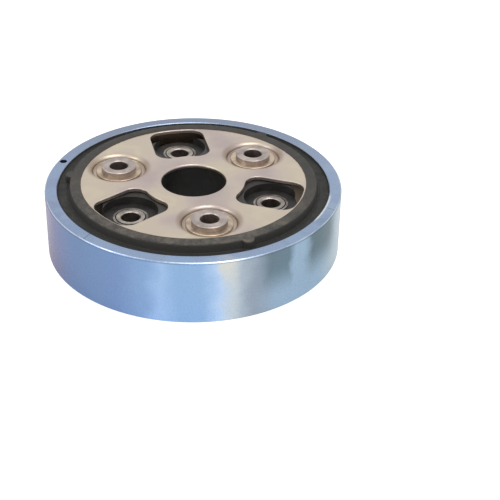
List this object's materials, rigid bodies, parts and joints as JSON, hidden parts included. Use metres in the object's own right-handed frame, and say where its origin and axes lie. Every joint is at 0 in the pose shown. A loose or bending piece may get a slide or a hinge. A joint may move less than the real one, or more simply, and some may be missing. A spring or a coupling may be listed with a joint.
{
  "type": "disc coupling with damper ring",
  "caption": "Flexible rubber disc coupling for a propeller shaft, with bolt bushes, a windowed carrier plate and a torsional damper ring.",
  "frame": {"origin": "on the axis of rotation, in the plane of the inertia ring's base", "axes": "+Z along the axis of rotation towards the carrier plate, +X through the first raised bush"},
  "size_m": [0.193, 0.193, 0.0471],
  "materials": {
    "ring_steel": "machined and zinc plated, bluish",
    "damper_rubber": "moulded, matt, slightly dusty",
    "plate_steel": "pressed and passivated, champagne tint",
    "disc_rubber": "moulded, satin black",
    "bush_steel": "turned",
    "guide_steel": "turned",
    "clamp_steel": "turned and passivated, champagne tint",
    "thread": "impregnated polyester cord"
  },
  "bodies": {
    "root": {"inertia_ring": "ring_steel", "damper_rubber": "damper_rubber", "carrier_plate": "plate_steel", "disc_rubber": "disc_rubber", "raised_bush_1": "bush_steel", "raised_head_guide_1": "guide_steel", "raised_tail_guide_1": "guide_steel", "raised_spacer_ring_1": "guide_steel", "low_bush_1": "bush_steel", "low_head_guide_1": "guide_steel", "low_tail_guide_1": "guide_steel", "low_spacer_ring_1": "guide_steel", "upper_thread_pack_1": "thread", "lower_thread_pack_1": "thread", "clamp_collar_1": "clamp_steel", "raised_bush_2": "bush_steel", "raised_head_guide_2": "guide_steel", "raised_tail_guide_2": "guide_steel", "raised_spacer_ring_2": "guide_steel", "low_bush_2": "bush_steel", "low_head_guide_2": "guide_steel", "low_tail_guide_2": "guide_steel", "low_spacer_ring_2": "guide_steel", "upper_thread_pack_2": "thread", "lower_thread_pack_2": "thread", "clamp_collar_2": "clamp_steel", "raised_bush_3": "bush_steel", "raised_head_guide_3": "guide_steel", "raised_tail_guide_3": "guide_steel", "raised_spacer_ring_3": "guide_steel", "low_bush_3": "bush_steel", "low_head_guide_3": "guide_steel", "low_tail_guide_3": "guide_steel", "low_spacer_ring_3": "guide_steel", "upper_thread_pack_3": "thread", "lower_thread_pack_3": "thread", "clamp_collar_3": "clamp_steel"}
  },
  "joints": []
}
